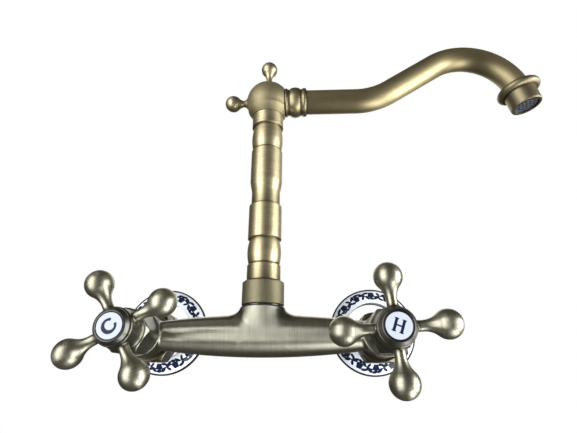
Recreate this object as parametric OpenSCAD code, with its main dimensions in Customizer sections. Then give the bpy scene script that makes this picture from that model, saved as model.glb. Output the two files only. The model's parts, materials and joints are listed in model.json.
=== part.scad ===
// Wall-mounted two-handle bridge mixer with a turned swivel column and an S-bend spout.
// Frame: +X to the right, +Y into the wall, +Z up. The origin lies on the wall face,
// midway between the two inlets. All sizes are in millimetres.

/* [Layout] */
// Distance between the two wall inlets and between the two valves
inlet_pitch = 150; // [146:1:154]
// Drop of the valves below the wall inlets, taken up by the S-unions
valve_drop = 7; // [6:0.5:7.5]
// Distance from the wall to the axis of the bar and of the column
bar_stand_off = 44; // [43.5:0.5:46]

/* [Body] */
// Diameter of the bar at its middle
bar_mid_d = 26; // [25:0.5:27]
// Radius of the arc that the bar's outline follows
bar_bow_r = 500; // [450:10:800]
// Diameter of the valve boss at each end
boss_d = 26.6; // [26:0.2:27.5]
// Diameter of the top of the column socket
socket_d = 26.6; // [26:0.2:27.2]

/* [Column] */
// Largest diameter of the turned column
column_d = 23; // [22:0.2:23.6]
// Diameter of the column's waist
waist_d = 20.2; // [19:0.2:21]
// Height of the spout's axis above the valve axis
spout_height = 177.5; // [177:0.5:179]
// Diameter of the ball head
head_d = 34; // [32:0.5:35]

/* [Spout] */
// Diameter of the spout tube
spout_d = 18.6; // [18:0.2:19]
// Where the first bend starts, measured from the column axis
bend_start = 68; // [62:1:72]
// Centreline radius of the upward bend
rise_bend_r = 49.6; // [45:1:55]
// Angle by which the spout climbs, in degrees
rise_angle = 33; // [30:1:35]
// Length of the sloping straight
rise_straight = 44.5; // [40:1:50]
// Centreline radius of the downward bend
drop_bend_r = 41; // [38:1:45]
// Angle of the outlet away from plumb, in degrees
outlet_lean = 13.5; // [10:0.5:16]

/* [Handles] */
// Distance from the wall to the plane of the handle arms
arm_plane = 84.7; // [84:0.1:86]
// Distance from the handle axis to the middle of each arm's ball
ball_reach = 27.4; // [26:0.2:28.4]
// Diameter of each arm's ball
ball_d = 16; // [15:0.2:16.4]
// Angle of the cold handle's first arm at rest, in degrees
cold_rest_angle = 29.6; // [0:0.2:89]
// Angle of the hot handle's first arm at rest, in degrees
hot_rest_angle = 4; // [0:0.2:89]

/* [Wall flanges] */
// Outer diameter of each wall flange
flange_d = 60.4; // [58:0.2:62]
// Diameter of the flange's opening
flange_bore_d = 38.8; // [38.4:0.2:40]

/* [Hidden] */
$fn = 64;
SIDES = [["cold", -1], ["hot", 1]];
STACK = [
    "handle", "index_cap", "index_disc", "handle_screw", "spindle", "spindle_clip", "spindle_o_rings",
    "upper_disc", "lower_disc", "seat_seal", "cartridge", "cartridge_o_ring", "bonnet",
    "union_nut", "union_washer", "s_union", "flange_dish", "flange_china", "flange_gasket"
];
COMMON = [
    "mixer_body", "collar_nut", "collar_ring", "collar_screw", "split_ring", "column_o_rings",
    "lower_column", "column_joint_seal", "upper_column", "head_seal", "ball_head",
    "top_finial", "side_finial", "spout_collar", "spout_seal", "spout_tube",
    "outlet_ring", "aerator_washer", "aerator_shell", "aerator_insert", "aerator_screen"
];

brass = "#8f8658";
dark_brass = "#55503a";
gunmetal = "#4b4b48";
china = "#e6ebf5";
steel = "#b9bcc0";
rubber = "#222222";
plastic = "#56606f";

slip = 0.06;            // radial running clearance of a turning fit
gap = 0.3;              // clearance between pieces that only pass each other
over = 1;               // how far a cutter reaches past the face that it cuts
thread_g12_r = 10.48;   // outside radius of a G1/2 thread
thread_g34_r = 13.22;   // outside radius of a G3/4 thread

// Valve stack, as distances from the wall
wall_thread_depth = 14;
inlet_bore_r = 6.65;     // waterway of the S-union's wall end
union_front = 28;       // face of the S-union that presses on the washer
washer_t = 2;
tail_flange_t = 2.6;
tail_flange_r = 12.2;
tail_r = 9.4;
boss_back = 34.6;
boss_front = 54;
chamber_r = 10.4;
seat_plane = 38;
seal_t = 2.4;
ceramic_t = 2.6;
ceramic_r = 8.6;
disc_plane = seat_plane + seal_t + ceramic_t;
spindle_r = 3.9;
neck_front = 79;
bonnet_front = 73.5;
bonnet_flats = 24;
hub_back = 74.6;
hub_front = 89.5;
hub_r = 10.7;
skirt_r = 12.3;
cap_front = 93.2;
cap_r = 10;
index_r = 7.1;
index_depth = 2.2;       // depth of the index disc's recess
cap_seat = 88.6;         // floor of the recess that takes the index cap
cap_spigot_r = 8.2;
screw_seat = 86.9;       // face that the handle screw clamps
screw_r = 2.1;
spindle_front = 86;
spindle_seals = [58, 63];
clip_groove_r = 3.2;
neck_back = 66;          // where the cartridge steps down to its neck
union_back = 17.5;       // rear face of the union nut
union_nut_front = 34.2;
union_flats = 30;
column_seals = [5, 13];  // heights of the two O-rings in the socket

// Column, as heights above the valve axis
socket_top = 17;
socket_bore_r = 9;
thread_top = 25.6;
thread_r = 12;
collar_r = 13.7;
collar_bottom = 18.6;
collar_top = 34;
collar_lip = 30.6;
grub_r = 1.2;            // grub screw that locks the collar nut
grub_z = 32.2;
grub_azimuth = 20;
spigot_r = socket_bore_r - slip;
spigot_bottom = -2;
column_r = column_d / 2;
ring_top = 45.3;
lower_bead_top = 62.7;
lower_top = 88.4;
waist_top = 100;
upper_start = 108;
upper_end = 132.8;
upper_bead_top = 152.6;
column_top = 163.4;
bore_r = 5.5;
head_r = head_d / 2;
neck_r = 12.3;
finial_ball_r = 6.4;
finial_stem_r = 1.9;

// Spout, measured along its axis from the column axis
collar_steps = [
    [13, 15.4, 11.1], [15.4, 17.3, 10.3], [17.3, 25, 11.7], [25, 26.6, 10.5], [26.6, 30, 11.1]
];
tube_r = spout_d / 2;
tube_bore_r = tube_r - 1.2;
tube_start = 18;
tube_sides = 28;
outlet_straight = 16;
shell_len = 12;
shell_r = 11.5;
bead_r = 15.8;
bead_t = 6;

// ---------------------------------------------------------------- frames

// Column axis, with z counted from the valve axis
module column_frame() translate([0, -bar_stand_off, -valve_drop]) children();

// Spout axis: x runs outwards from the column axis
module spout_frame() column_frame() translate([0, 0, spout_height]) children();

// Valve axis of one side: z runs from the wall to the user, y points up
module valve_frame(side)
    translate([side * inlet_pitch / 2, 0, -valve_drop]) rotate([90, 0, 0]) children();

// Wall inlet of one side: z runs from the wall to the user
module inlet_frame(side) translate([side * inlet_pitch / 2, 0, 0]) rotate([90, 0, 0]) children();

// Mouth of the spout: z runs back up the outlet
module outlet_frame()
    spout_frame() translate([mouth[0], 0, mouth[1]]) rotate([0, -outlet_lean, 0]) children();

// ---------------------------------------------------------------- shared shapes

// Ring between two radii, from z0 to z1
module tube(z0, z1, outer, inner) translate([0, 0, z0]) difference() {
    cylinder(r = outer, h = z1 - z0);
    translate([0, 0, -over]) cylinder(r = inner, h = z1 - z0 + 2 * over);
}

// Solid disc or shaft from z0 to z1
module rod(z0, z1, r) translate([0, 0, z0]) cylinder(r = r, h = z1 - z0);

// Hexagonal prism, sized across its flats
module hex(z0, z1, flats)
    translate([0, 0, z0]) cylinder(d = flats / cos(30), h = z1 - z0, $fn = 6);

// O-ring of cord radius c, lying round a shaft
module o_ring(z, mid_r, c)
    translate([0, 0, z]) rotate_extrude() translate([mid_r, 0]) circle(r = c, $fn = 32);

// Half outline of a barrel: an arc that bulges by sag between z0 and z1
module barrel(z0, z1, r, sag) {
    rho = (pow((z1 - z0) / 2, 2) + sag * sag) / (2 * sag);
    intersection() {
        translate([0, z0]) square([r, z1 - z0]);
        translate([r - rho, (z0 + z1) / 2]) circle(r = rho, $fn = 180);
    }
    translate([0, z0]) square([r - sag, z1 - z0]);
}

// Teardrop knob on a thin neck, standing along z from its foot to its ball
module teardrop(foot, neck_radius, neck_len, ball_radius, ball_z) {
    shoulder = 0.5 * ball_radius;
    rotate_extrude() polygon([
        [0, foot], [neck_radius, foot], [neck_radius, neck_len],
        [ball_radius * 0.62, ball_z - ball_radius * 0.92],
        [sqrt(pow(ball_radius, 2) - pow(shoulder, 2)), ball_z - shoulder], [0, ball_z - shoulder]
    ]);
    translate([0, 0, ball_z]) sphere(r = ball_radius);
}

// ---------------------------------------------------------------- body

module bar() rotate([0, 90, 0]) rotate_extrude() intersection() {
    translate([0, -inlet_pitch / 2]) square([bar_mid_d, inlet_pitch]);
    translate([bar_mid_d / 2 - bar_bow_r, 0]) circle(r = bar_bow_r, $fn = 360);
}

module socket_flare() intersection() {
    rotate_extrude() difference() {
        square([socket_d / 2 + 10, socket_top]);
        translate([socket_d / 2 + 10, socket_top - 1]) circle(r = 10, $fn = 96);
        translate([socket_d / 2, socket_top - 1]) square([20, 5]);
    }
    translate([-40, -bar_mid_d / 2 - 0.2, -1]) cube([80, bar_mid_d + 0.4, 30]);
}

module mixer_body() color(brass) difference() {
    union() {
        column_frame() {
            bar();
            socket_flare();
            rod(0, socket_top, socket_d / 2);
            rod(socket_top - over, thread_top, thread_r);
        }
        for (side = [-1, 1]) valve_frame(side) {
            rod(boss_back, boss_front, boss_d / 2);
            rod(union_front + washer_t, boss_back + over, tail_r);
            rod(union_front + washer_t, union_front + washer_t + tail_flange_t, tail_flange_r);
        }
    }
    column_frame() {
        rod(spigot_bottom - 3, thread_top + over, socket_bore_r);
        rotate([0, 90, 0]) rod(-inlet_pitch / 2, inlet_pitch / 2, 6);
    }
    for (side = [-1, 1]) valve_frame(side) {
        rod(seat_plane, boss_front + over, chamber_r);
        rod(union_front, seat_plane + over, 6);
    }
}

// ---------------------------------------------------------------- swivel

module collar_nut() color(brass) column_frame() difference() {
    height = collar_top - collar_bottom;
    rotate_extrude() difference() {
        translate([0, collar_bottom]) square([collar_r, height]);
        translate([0, collar_bottom - over]) square([spigot_r + gap, height + 2 * over]);
        translate([0, collar_bottom - over]) square([thread_r, collar_lip - collar_bottom + over]);
        polygon([
            [collar_r - 1.4, collar_top + 0.01],
            [collar_r + 0.01, collar_top - 1],
            [collar_r + over, collar_top + over]
        ]);
    }
    grub_frame() rod(spigot_r, collar_r + over, grub_r);
}

// Grub screw axis, with z counted outwards from the column axis
module grub_frame() translate([0, 0, grub_z]) rotate([0, -90, grub_azimuth]) children();

module collar_screw() color(rubber) column_frame() grub_frame() difference() {
    rod(spigot_r + gap, collar_r - 0.5, grub_r);
    hex(collar_r - 1.6, collar_r, 1.2);
}

module collar_ring() color(rubber) column_frame() tube(socket_top, collar_bottom, 13, thread_r);

module split_ring() color(steel) column_frame() difference() {
    tube(27.4, 29.4, 11.4, 8.2);
    translate([7, -1, 27]) cube([6, 2, 3]);
}

module column_o_rings() color(rubber) column_frame() for (z = column_seals) o_ring(z, 7.95, 0.9);

module lower_column() color(brass) column_frame() difference() {
    rotate_extrude() difference() {
        union() {
            translate([0, spigot_bottom]) square([spigot_r, collar_top + 1 - spigot_bottom]);
            translate([0, collar_top + gap]) square([column_r - 0.3, ring_top - collar_top - gap]);
            barrel(ring_top - 0.01, lower_bead_top + 0.01, column_r - 0.1, 0.9);
            translate([0, lower_bead_top]) square([column_r, lower_top - lower_bead_top - 0.6]);
            translate([0, lower_top - 1]) square([column_r - 0.7, 1]);
        }
        translate([column_r - 0.5, ring_top]) circle(r = 0.6);
        translate([column_r - 0.5, lower_bead_top]) circle(r = 0.6);
        for (z = column_seals) translate([7.05, z - 0.95]) square([3, 1.9]);
        translate([8.2, 27.4]) square([3, 2]);
    }
    rod(spigot_bottom - over, lower_top - 10, bore_r);
    rod(lower_top - 10, lower_top + over, 8.1);
}

module column_joint_seal() color(rubber) column_frame() o_ring(lower_top - 5, 7.25, 0.8);

module upper_column() color(brass) column_frame() difference() {
    rotate_extrude() difference() {
        union() {
            translate([0, lower_top - 9.6]) square([8.05, 10]);
            translate([0, lower_top]) square([waist_d / 2, waist_top - lower_top]);
            polygon([
                [0, waist_top], [waist_d / 2, waist_top], [column_r - 0.6, upper_start - 3],
                [column_r, upper_start], [0, upper_start]
            ]);
            translate([0, upper_start]) square([column_r, upper_end - upper_start]);
            barrel(upper_end - 0.01, upper_bead_top + 0.01, column_r + 0.1, 0.9);
            translate([0, upper_bead_top]) square([column_r + 0.3, column_top - upper_bead_top]);
            translate([0, column_top]) square([8, 6]);
        }
        translate([column_r - 0.5, upper_end]) circle(r = 0.6);
        translate([column_r - 0.3, upper_bead_top]) circle(r = 0.6);
        translate([6.4, lower_top - 5.9]) square([3, 1.8]);
    }
    rod(lower_top - 12, column_top + 8, bore_r);
}

// ---------------------------------------------------------------- head

module head_seal() color(rubber) column_frame() tube(column_top, column_top + 1, 10.4, 8);

module ball_head() color(brass) column_frame() difference() {
    union() {
        translate([0, 0, spout_height]) sphere(r = head_r);
        rotate_extrude() polygon([
            [0, column_top], [neck_r, column_top], [neck_r, column_top + 1],
            [head_r - 2, spout_height - 7.5], [0, spout_height - 7.5]
        ]);
    }
    rod(spout_height - head_r - over, column_top, head_r);
    rod(column_top - over, column_top + 1, 10.4);
    rod(column_top, column_top + 6, 8);
    rod(column_top, spout_height + 5, bore_r);
    translate([0, 0, spout_height]) rotate([0, 90, 0]) {
        rod(0, head_r + over, 6.5);
        rod(13, head_r + over, head_r);
        rod(-head_r - over, 7 - head_r, finial_stem_r);
    }
    rod(spout_height + head_r - 7, spout_height + head_r + over, finial_stem_r);
}

// Knob screwed into the head, with its ball at the given distance from the head's centre
module finial(ball_z) {
    rod(head_r - 7, head_r, finial_stem_r);
    difference() {
        teardrop(head_r - 2, 2.4, ball_z - 8.5, finial_ball_r, ball_z);
        sphere(r = head_r);
    }
}

module top_finial() color(brass) spout_frame() finial(33.2);

module side_finial() color(brass) spout_frame() rotate([0, -90, 0]) finial(27.8);

// ---------------------------------------------------------------- spout

module spout_collar() color(brass) spout_frame() rotate([0, 90, 0]) difference() {
    union() {
        for (step = collar_steps) rod(step[0], step[1], step[2]);
        rod(9, 13.5, 6.5);
    }
    rod(0, 40, bore_r);
    rod(tube_start, 40, tube_r);
}

module spout_seal() color(rubber) spout_frame() rotate([0, 90, 0])
    tube(tube_start, tube_start + 1.5, tube_r, 6.6);

// Centreline of the bent tube: a list of [x, z, heading], with a station every few degrees
function turned(start, r, from, to, steps) = [
    for (k = [0 : steps]) let (a = from + (to - from) * k / steps, bend = to > from ? 1 : -1) [
        start[0] + bend * r * (sin(a) - sin(from)),
        start[1] - bend * r * (cos(a) - cos(from)),
        a
    ]
];
function last(list) = list[len(list) - 1];
function ahead(station, distance) = [
    station[0] + distance * cos(station[2]), station[1] + distance * sin(station[2]), station[2]
];
rise = turned([bend_start, 0, 0], rise_bend_r, 0, rise_angle, 6);
slope_end = ahead(last(rise), rise_straight);
drop = turned(slope_end, drop_bend_r, rise_angle, outlet_lean - 90, 20);
mouth = ahead(last(drop), outlet_straight);
tube_route = concat(
    [[tube_start + 1.5, 0, 0]], rise, drop, [ahead(last(drop), outlet_straight - shell_len - 1.6)]
);

// Points of one ring across the tube
function ring_at(station, r) = [
    for (k = [0 : tube_sides - 1]) let (a = 360 * k / tube_sides) [
        station[0] - r * sin(a) * sin(station[2]), r * cos(a), station[1] + r * sin(a) * cos(station[2])
    ]
];

module spout_tube() color(brass) spout_frame() {
    n = len(tube_route);
    m = tube_sides;
    outer = [for (station = tube_route) each ring_at(station, tube_r)];
    inner = [for (station = tube_route) each ring_at(station, tube_bore_r)];
    wall = n * m;
    faces = [
        for (i = [0 : n - 2], k = [0 : m - 1]) let (a = i * m + k, b = i * m + (k + 1) % m) each [
            [a, b, b + m, a + m], [wall + a, wall + a + m, wall + b + m, wall + b]
        ],
        for (k = [0 : m - 1]) let (a = k, b = (k + 1) % m, c = (n - 1) * m) each [
            [a, wall + a, wall + b, b], [c + a, c + b, wall + c + b, wall + c + a]
        ]
    ];
    polyhedron(concat(outer, inner), faces);
}

module outlet_ring() color(brass) outlet_frame() difference() {
    rotate_extrude() union() {
        translate([0, shell_len]) barrel(0, bead_t, bead_r, 1.7);
        translate([0, shell_len + bead_t]) square([tube_r + 0.8, 1.5]);
        translate([0, shell_len - 4]) square([9.6, 5]);
    }
    rod(0, shell_len + 1.6, 8.2);
    rod(shell_len + 1.6, 30, tube_r + 0.2);
}

module aerator_washer() color(rubber) outlet_frame() tube(shell_len - 5.2, shell_len - 4, 9.4, 6.5);

module aerator_shell() color(brass) outlet_frame() difference() {
    rotate_extrude() difference() {
        polygon([[0, 0], [shell_r - 0.3, 0], [shell_r - 0.3, 1.4], [shell_r, shell_len], [0, shell_len]]);
        translate([0, shell_len - 4]) square([9.65, 5]);
    }
    rod(-over, 2, 8.9);
    rod(1.3, shell_len - 3.9, 9.5);
}

module aerator_insert() color(plastic) outlet_frame() difference() {
    rod(1.3, shell_len - 5.2, 9.45);
    tube(-over, 2.2, 8.4, 7);
    tube(-over, 2.2, 5.2, 4);
    rod(4, shell_len, 7.4);
    for (ring = [1, 2], k = [0 : 6 * ring - 1]) rotate([0, 0, 60 * k / ring])
        translate([3 * ring, 0, -over]) cylinder(r = 0.8, h = 8, $fn = 24);
}

module aerator_screen() color(steel) outlet_frame() rod(4, 4.6, 7.35);

// ---------------------------------------------------------------- valve, cold or hot

module handle(side, turn) color(brass) valve_frame(side) {
    rotate_extrude() difference() {
        polygon([
            [screw_r, hub_back], [skirt_r, hub_back], [skirt_r, hub_back + 1.4], [hub_r, hub_back + 5.4],
            [hub_r, hub_front - 0.8], [hub_r - 0.8, hub_front], [screw_r, hub_front]
        ]);
        translate([0, hub_back - over]) square([8.6, over + 6.2]);
        translate([0, hub_back]) square([spindle_r, spindle_front - hub_back]);
        translate([0, screw_seat]) square([5.4, 3]);
        translate([0, cap_seat]) square([cap_spigot_r, 3]);
    }
    for (arm = [0 : 3]) rotate([0, 0, turn + 90 * arm]) translate([0, 0, arm_plane]) rotate([0, 90, 0])
        teardrop(6, 3, 17, ball_d / 2, ball_reach);
}

module index_cap(side) color(gunmetal) valve_frame(side) difference() {
    union() {
        rod(cap_seat, hub_front, cap_spigot_r);
        rotate_extrude() polygon([
            [0, hub_front], [cap_r, hub_front], [cap_r, hub_front + 1.6],
            [index_r + 1, cap_front], [0, cap_front]
        ]);
    }
    rod(88, 90.6, 5.4);
    rod(cap_front - index_depth, cap_front + over, index_r);
}

module index_disc(side) color(china) valve_frame(side)
    rod(cap_front - index_depth, cap_front + 0.2, index_r);

module handle_screw(side) color(steel) valve_frame(side) difference() {
    union() {
        rod(78, screw_seat, screw_r);
        rod(screw_seat, screw_seat + 3.3, 4.2);
    }
    translate([0, 0, screw_seat + 2.7]) {
        cube([6.6, 1, 2], center = true);
        cube([1, 6.6, 2], center = true);
    }
}

module spindle(side) color(dark_brass) valve_frame(side) difference() {
    union() {
        rod(disc_plane + ceramic_t + 0.1, disc_plane + ceramic_t + 4, 7.9);
        rod(disc_plane + ceramic_t + 2, spindle_front, spindle_r);
    }
    for (z = spindle_seals) tube(z - 0.8, z + 0.8, spindle_r + over, 2.9);
    tube(neck_front + 0.4, neck_front + 1.4, spindle_r + over, clip_groove_r);
    rod(77, spindle_front + over, screw_r);
}

module spindle_clip(side) color(steel) valve_frame(side) difference() {
    tube(neck_front + 0.4, neck_front + 1.4, 5.6, clip_groove_r);
    translate([-6, -1.2, neck_front]) cube([6, 2.4, 2]);
}

module spindle_o_rings(side) color(rubber) valve_frame(side)
    for (z = spindle_seals) o_ring(z, 3.42, 0.5);

module upper_disc(side) color(china) valve_frame(side) difference() {
    rod(disc_plane + 0.05, disc_plane + ceramic_t + 0.1, ceramic_r - 0.6);
    for (k = [0, 180]) rotate([0, 0, k]) translate([4.4, 0, disc_plane - over]) cylinder(r = 2, h = 5);
}

module lower_disc(side) color(china) valve_frame(side) difference() {
    rod(seat_plane + seal_t, disc_plane, ceramic_r);
    for (k = [0, 180]) rotate([0, 0, k]) translate([4.4, 0, disc_plane - 4]) cylinder(r = 2, h = 5);
}

module seat_seal(side) color(rubber) valve_frame(side) tube(seat_plane, seat_plane + seal_t, 8.4, 6.2);

module cartridge(side) color(dark_brass) valve_frame(side) difference() {
    union() {
        rod(seat_plane + 0.3, boss_front, chamber_r - 0.1);
        rod(boss_front, boss_front + 4, 11.2);
        rod(boss_front + 4, neck_back, 8.6);
        rod(neck_back, neck_front, 7);
    }
    rod(seat_plane - over, disc_plane, ceramic_r);
    rod(disc_plane - 0.01, disc_plane + ceramic_t + 4.2, 8.05);
    rod(disc_plane, neck_front + over, spindle_r + slip);
    translate([-12, -3.5, disc_plane + 0.3]) cube([24, 7, 5]);
    tube(boss_front - 3, boss_front - 1.2, chamber_r + over, chamber_r - 1.6);
}

module cartridge_o_ring(side) color(rubber) valve_frame(side)
    o_ring(boss_front - 2.1, chamber_r - 0.88, 0.7);

module bonnet(side) color(gunmetal) valve_frame(side) difference() {
    inner_r = bonnet_flats / 2;
    intersection() {
        hex(boss_front, bonnet_front, bonnet_flats);
        rotate_extrude() polygon([
            [0, boss_front], [inner_r, boss_front], [inner_r + 2, boss_front + 2.4],
            [inner_r + 2, bonnet_front - 2.6], [inner_r - 0.3, bonnet_front], [0, bonnet_front]
        ]);
    }
    rod(boss_front - over, boss_front + 4.1, 11.25);
    rod(boss_front, neck_back, 8.65);
    rod(60, bonnet_front + over, 7.1);
    rod(70, bonnet_front + over, 9.4);
}

// ---------------------------------------------------------------- wall connection, cold or hot

module union_nut(side) color(dark_brass) valve_frame(side) difference() {
    intersection() {
        hex(union_back, union_nut_front, union_flats);
        rotate_extrude() polygon([
            [0, union_back], [15, union_back], [17.6, union_back + 1.7],
            [17.6, union_nut_front - 2.2], [14.8, union_nut_front], [0, union_nut_front]
        ]);
    }
    rod(union_back - over, union_front + washer_t + tail_flange_t, thread_g34_r + 0.05);
    rod(30, union_nut_front + over, tail_r + 0.1);
}

module union_washer(side) color(rubber) valve_frame(side)
    tube(union_front, union_front + washer_t, 12, 8.2);

module s_union(side) color(dark_brass) difference() {
    union() {
        inlet_frame(side) {
            rod(-wall_thread_depth, 3, thread_g12_r);
            rod(3, 14, 12);
        }
        valve_frame(side) {
            rod(13, union_front, thread_g34_r);
        }
    }
    inlet_frame(side) rod(-wall_thread_depth - over, 13.5, inlet_bore_r);
    valve_frame(side) rod(13.5, union_front + over, 8.2);
}

module flange_dish(side) color(dark_brass) inlet_frame(side) rotate_extrude() difference() {
    polygon([
        [flange_bore_d / 2, 1.6], [flange_d / 2 - 2, 1.6], [flange_d / 2, 1.6], [flange_d / 2, 4.4],
        [flange_d / 2 - 1, 4.6], [flange_d / 2 - 1, 2.8],
        [flange_bore_d / 2 + 0.8, 8.6], [flange_bore_d / 2 + 0.8, 10.4], [flange_bore_d / 2, 10.4]
    ]);
    polygon([
        [flange_bore_d / 2 + 0.8, 0], [flange_d / 2 - 1, 0],
        [flange_d / 2 - 1, 1.8], [flange_bore_d / 2 + 0.8, 7.4]
    ]);
}

module flange_china(side) color(china) inlet_frame(side) rotate_extrude() intersection() {
    inner = flange_bore_d / 2 + 0.8;
    outer = flange_d / 2 - 1;
    polygon([[outer, 2.8], [outer, 12], [inner, 12], [inner, 8.6]]);
    translate([flange_bore_d / 2 - 1.5, -1.9]) circle(r = 12.9, $fn = 180);
}

module flange_gasket(side) color(rubber) inlet_frame(side)
    tube(0, 1.6, flange_d / 2 - 1.2, flange_d / 2 - 5);

// ---------------------------------------------------------------- nodes

mixer_body();
collar_nut();
collar_ring();
collar_screw();
split_ring();
column_o_rings();
lower_column();
column_joint_seal();
upper_column();
head_seal();
ball_head();
top_finial();
side_finial();
spout_collar();
spout_seal();
spout_tube();
outlet_ring();
aerator_washer();
aerator_shell();
aerator_insert();
aerator_screen();

handle(-1, cold_rest_angle);  // cold_handle
index_cap(-1);  // cold_index_cap
index_disc(-1);  // cold_index_disc
handle_screw(-1);  // cold_handle_screw
spindle(-1);  // cold_spindle
spindle_clip(-1);  // cold_spindle_clip
spindle_o_rings(-1);  // cold_spindle_o_rings
upper_disc(-1);  // cold_upper_disc
lower_disc(-1);  // cold_lower_disc
seat_seal(-1);  // cold_seat_seal
cartridge(-1);  // cold_cartridge
cartridge_o_ring(-1);  // cold_cartridge_o_ring
bonnet(-1);  // cold_bonnet
union_nut(-1);  // cold_union_nut
union_washer(-1);  // cold_union_washer
s_union(-1);  // cold_s_union
flange_dish(-1);  // cold_flange_dish
flange_china(-1);  // cold_flange_china
flange_gasket(-1);  // cold_flange_gasket

handle(1, hot_rest_angle);  // hot_handle
index_cap(1);  // hot_index_cap
index_disc(1);  // hot_index_disc
handle_screw(1);  // hot_handle_screw
spindle(1);  // hot_spindle
spindle_clip(1);  // hot_spindle_clip
spindle_o_rings(1);  // hot_spindle_o_rings
upper_disc(1);  // hot_upper_disc
lower_disc(1);  // hot_lower_disc
seat_seal(1);  // hot_seat_seal
cartridge(1);  // hot_cartridge
cartridge_o_ring(1);  // hot_cartridge_o_ring
bonnet(1);  // hot_bonnet
union_nut(1);  // hot_union_nut
union_washer(1);  // hot_union_washer
s_union(1);  // hot_s_union
flange_dish(1);  // hot_flange_dish
flange_china(1);  // hot_flange_china
flange_gasket(1);  // hot_flange_gasket
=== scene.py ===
"""Wall-mounted bathroom mixer in brushed antique brass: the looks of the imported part.

Sizes below are in millimetres, in the frame of the piece they describe. Meshes are made in metres.
"""

import json
import math

import bpy
import numpy as np
from mathutils import Matrix, Vector

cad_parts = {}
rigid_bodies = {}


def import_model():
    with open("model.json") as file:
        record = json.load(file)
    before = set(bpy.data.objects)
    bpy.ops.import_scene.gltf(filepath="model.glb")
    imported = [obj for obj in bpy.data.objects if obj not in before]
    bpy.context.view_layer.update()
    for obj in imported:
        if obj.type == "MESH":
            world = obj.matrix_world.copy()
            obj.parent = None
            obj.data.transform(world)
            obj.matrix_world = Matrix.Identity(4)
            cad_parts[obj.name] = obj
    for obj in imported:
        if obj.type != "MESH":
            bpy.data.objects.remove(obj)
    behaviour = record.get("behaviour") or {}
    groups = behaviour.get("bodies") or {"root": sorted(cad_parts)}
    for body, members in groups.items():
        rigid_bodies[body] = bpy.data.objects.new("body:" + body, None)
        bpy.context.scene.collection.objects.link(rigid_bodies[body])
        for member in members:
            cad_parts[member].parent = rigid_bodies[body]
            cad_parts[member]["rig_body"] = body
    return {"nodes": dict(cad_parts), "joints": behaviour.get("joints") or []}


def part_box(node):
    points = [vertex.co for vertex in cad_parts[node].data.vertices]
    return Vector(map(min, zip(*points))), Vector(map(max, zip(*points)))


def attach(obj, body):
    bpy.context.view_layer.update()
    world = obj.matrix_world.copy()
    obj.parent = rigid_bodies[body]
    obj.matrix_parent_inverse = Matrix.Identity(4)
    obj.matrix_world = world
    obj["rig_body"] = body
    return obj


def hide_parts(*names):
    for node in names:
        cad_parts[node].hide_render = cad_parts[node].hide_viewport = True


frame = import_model()

MM = 0.001
TURN = 2 * math.pi
FINE = 0.5          # cell size of the modelled surfaces

# Layout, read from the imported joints
JOINT = {joint["name"]: Vector(joint["pos_m"]) / MM for joint in frame["joints"]}
SIDES = {"cold": (JOINT["cold_handle_turn"], 29.6), "hot": (JOINT["hot_handle_turn"], 4.0)}
VALVE_Z = SIDES["cold"][0].z
COLUMN_AXIS = JOINT["spout_swivel"]
SPOUT_HEIGHT = 177.5
SMALL_FILLET = 0.12       # of corners that name none

# Body, column and head
HALF_PITCH = 75           # from the column to each valve
BAR_R, BAR_CURVE_R = 13, 500      # at the middle, and of the arc on which the bar narrows
BORE_R = 5.5              # waterway through the column
COLUMN_R = 11.5
COLUMN_SPLIT = 88.4       # joint between the lower and the upper length
SPIGOT_R = 8.94
THREAD_R = 12             # of the socket, under the collar nut
COLLAR_R = 13.7
COLLAR_TOP = 34
SOCKET_TOP = 17
GRUB_R, GRUB_Z, GRUB_AZIMUTH = 1.2, 32.2, 20
BALL_HEAD_R = 17.0
HEAD_FOOT = -14.1         # under side of the ball head
FINIAL_BALL_R = 6.4

# Spout
TUBE_R = 9.3
TUBE_BORE_R = 8.1
TUBE_START = 19.5
RISE_START = 68
RISE_R, RISE_ANGLE, RISE_LENGTH = 49.6, 33, 44.5
DROP_R, OUTLET_LEAN, OUTLET_LENGTH = 41.0, 13.5, 16
TUBE_END = 13.6           # height of the tube's end above the mouth

# Handles
ARM_PLANE = 84.7
ARM_BALL_R = 8.0
ARM_REACH = 27.4
CAP_SEAT = 88.6
INDEX_R = 7.1
PRINT_EDGE_R = 6.88

# Wall side
FLANGE_R = 30.2
FLANGE_BORE_R = 19.4
BAND_R = 24.9             # middle of the printed border
BAND_REPEATS = 7

# Brushing: how fast its hair lines and broader bands change across and along, per mm
HAIR_SCALE = (5.0, 0.10, 0.10)
BAND_SCALE = (1.3, 0.04, 0.04)

# Studio, in metres
FLOOR_Z, FLOOR_SIDE = -0.9, 8     # the mixer hangs on a wall, well above the floor
DOME_R = 6
LAMP_DISTANCE = 1.3
LAMP_TARGET = Vector((0.03, -0.05, 0.07))


# ---------------------------------------------------------------- frames


def facing_user(x, z):
    """Frame of a valve or an inlet: z runs from the wall to the user, y points up."""
    return Matrix.Translation((x, 0, z)) @ Matrix.Rotation(math.pi / 2, 4, "X")


COLUMN = Matrix.Translation((COLUMN_AXIS.x, COLUMN_AXIS.y, VALVE_Z))
HEAD = COLUMN @ Matrix.Translation((0, 0, SPOUT_HEIGHT))
SPOUT = HEAD @ Matrix.Rotation(math.pi / 2, 4, "Y")
SIDE_KNOB = HEAD @ Matrix.Rotation(-math.pi / 2, 4, "Y")


# ---------------------------------------------------------------- outlines


def unit(vector):
    """The same direction with a length of one."""
    return vector / max(np.linalg.norm(vector), 1e-12)


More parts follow.
